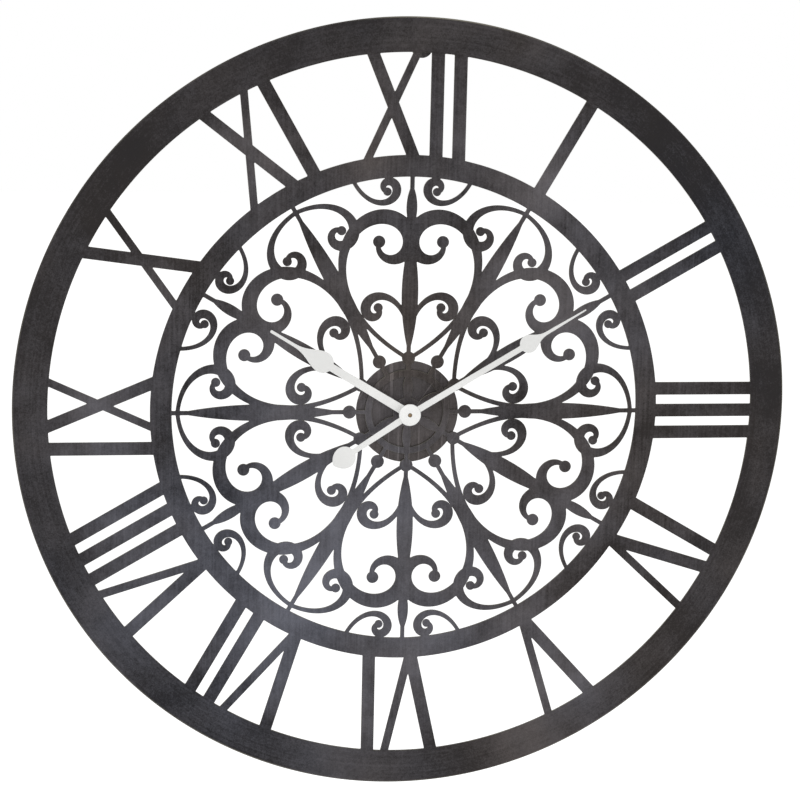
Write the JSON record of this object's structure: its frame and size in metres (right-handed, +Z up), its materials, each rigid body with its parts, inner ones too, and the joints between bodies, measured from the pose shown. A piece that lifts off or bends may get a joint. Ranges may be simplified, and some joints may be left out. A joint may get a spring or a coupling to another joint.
{
  "type": "skeleton wall clock",
  "caption": "Round open wall clock of dark sheet steel with Roman numerals between two rings, a scrollwork centre, white hands and a quartz movement.",
  "frame": {"origin": "centre of the hanging eye, in the plane of the wall", "axes": "+Z up, +Y into the wall, so the dial faces -Y; +X is three o'clock's side"},
  "size_m": [0.7999, 0.0429, 0.8],
  "materials": {
    "dial_paint": "dark grey-brown, thin and rubbed, over brushed steel",
    "fixing_paint": "dark grey paint",
    "black_rubber": "matte",
    "case_plastic": "fine moulded grain",
    "brass": "turned",
    "green_board": "solder mask",
    "chip_resin": "poured resin",
    "pale_plastic": "natural moulded",
    "copper_wire": "enamelled copper",
    "bright_steel": "nickel plated",
    "magnet": "nickel plated",
    "cell_can": "plain wrap, stands for a cell of about 23 g",
    "white_paint": "satin white",
    "white_plastic": "white, slightly warm"
  },
  "bodies": {
    "dial": {"outer_ring": "dial_paint", "inner_ring": "dial_paint", "centre_boss": "dial_paint", "mounting_disc": "dial_paint", "numeral_1": "dial_paint", "numeral_2": "dial_paint", "numeral_3": "dial_paint", "numeral_4": "dial_paint", "numeral_5": "dial_paint", "numeral_6": "dial_paint", "numeral_7": "dial_paint", "numeral_8": "dial_paint", "numeral_9": "dial_paint", "numeral_10": "dial_paint", "numeral_11": "dial_paint", "numeral_12": "dial_paint", "scroll_panel_1": "dial_paint", "scroll_panel_2": "dial_paint", "scroll_panel_3": "dial_paint", "scroll_panel_4": "dial_paint", "scroll_panel_5": "dial_paint", "scroll_panel_6": "dial_paint", "hanging_bracket": "fixing_paint", "wall_posts": "fixing_paint", "wall_pads": "black_rubber", "gasket": "black_rubber", "front_case": "case_plastic", "rear_cover": "case_plastic", "threaded_bushing": "brass", "washer": "brass", "hex_nut": "brass", "circuit_board": "green_board", "control_chip": "chip_resin", "coil_bobbin": "pale_plastic", "coil_winding": "copper_wire", "coil_core": "bright_steel", "stator": "bright_steel", "quartz_crystal": "bright_steel", "positive_contact": "bright_steel", "negative_contact": "bright_steel"},
    "minute_hand": {"minute_hand": "white_paint", "minute_arbor": "brass", "hand_cap": "white_plastic"},
    "hour_hand": {"hour_hand": "white_paint", "hour_wheel": "brass"},
    "minute_wheel": {"minute_wheel": "pale_plastic"},
    "setting": {"setting_arbor": "pale_plastic", "setting_knob": "pale_plastic"},
    "centre_wheel": {"centre_wheel": "pale_plastic"},
    "third_wheel": {"third_wheel": "pale_plastic"},
    "seconds_wheel": {"seconds_wheel": "pale_plastic"},
    "intermediate_wheel": {"intermediate_wheel": "pale_plastic"},
    "rotor": {"rotor": "magnet"},
    "battery": {"battery": "cell_can"}
  },
  "joints": [
    {"name": "minute_turn", "type": "hinge", "parent": "dial", "child": "minute_hand", "pos_m": [0, 0, -0.378], "axis": [0, 1, 0], "continuous": true},
    {"name": "hour_turn", "type": "hinge", "parent": "dial", "child": "hour_hand", "pos_m": [0, 0, -0.378], "axis": [0, 1, 0], "continuous": true},
    {"name": "minute_wheel_turn", "type": "hinge", "parent": "dial", "child": "minute_wheel", "pos_m": [-0.00653, 0, -0.37496], "axis": [0, 1, 0], "continuous": true},
    {"name": "setting_turn", "type": "hinge", "parent": "dial", "child": "setting", "pos_m": [-0.01329, 0, -0.37742], "axis": [0, 1, 0], "continuous": true},
    {"name": "seconds_turn", "type": "hinge", "parent": "dial", "child": "seconds_wheel", "pos_m": [0.01066, 0, -0.36671], "axis": [0, 1, 0], "continuous": true},
    {"name": "third_turn", "type": "hinge", "parent": "dial", "child": "third_wheel", "pos_m": [0.00846, 0, -0.37492], "axis": [0, 1, 0], "continuous": true},
    {"name": "centre_turn", "type": "hinge", "parent": "dial", "child": "centre_wheel", "pos_m": [0, 0, -0.378], "axis": [0, 1, 0], "continuous": true},
    {"name": "intermediate_turn", "type": "hinge", "parent": "dial", "child": "intermediate_wheel", "pos_m": [0.0046, 0, -0.36321], "axis": [0, 1, 0], "continuous": true},
    {"name": "rotor_turn", "type": "hinge", "parent": "dial", "child": "rotor", "pos_m": [-0.00104, 0, -0.36116], "axis": [0, 1, 0], "continuous": true},
    {"name": "battery_out", "type": "slide", "parent": "dial", "child": "battery", "axis": [0, 1, 0], "range_m": [0, 0.03]}
  ],
  "couplings": [
    {"joint": "minute_wheel_turn", "follows": "minute_turn", "ratio": -0.33333},
    {"joint": "hour_turn", "follows": "minute_turn", "ratio": 0.083333},
    {"joint": "setting_turn", "follows": "minute_turn", "ratio": 1},
    {"joint": "third_turn", "follows": "seconds_turn", "ratio": -0.13333},
    {"joint": "centre_turn", "follows": "seconds_turn", "ratio": 0.016667},
    {"joint": "intermediate_turn", "follows": "seconds_turn", "ratio": -6},
    {"joint": "rotor_turn", "follows": "seconds_turn", "ratio": 30}
  ]
}
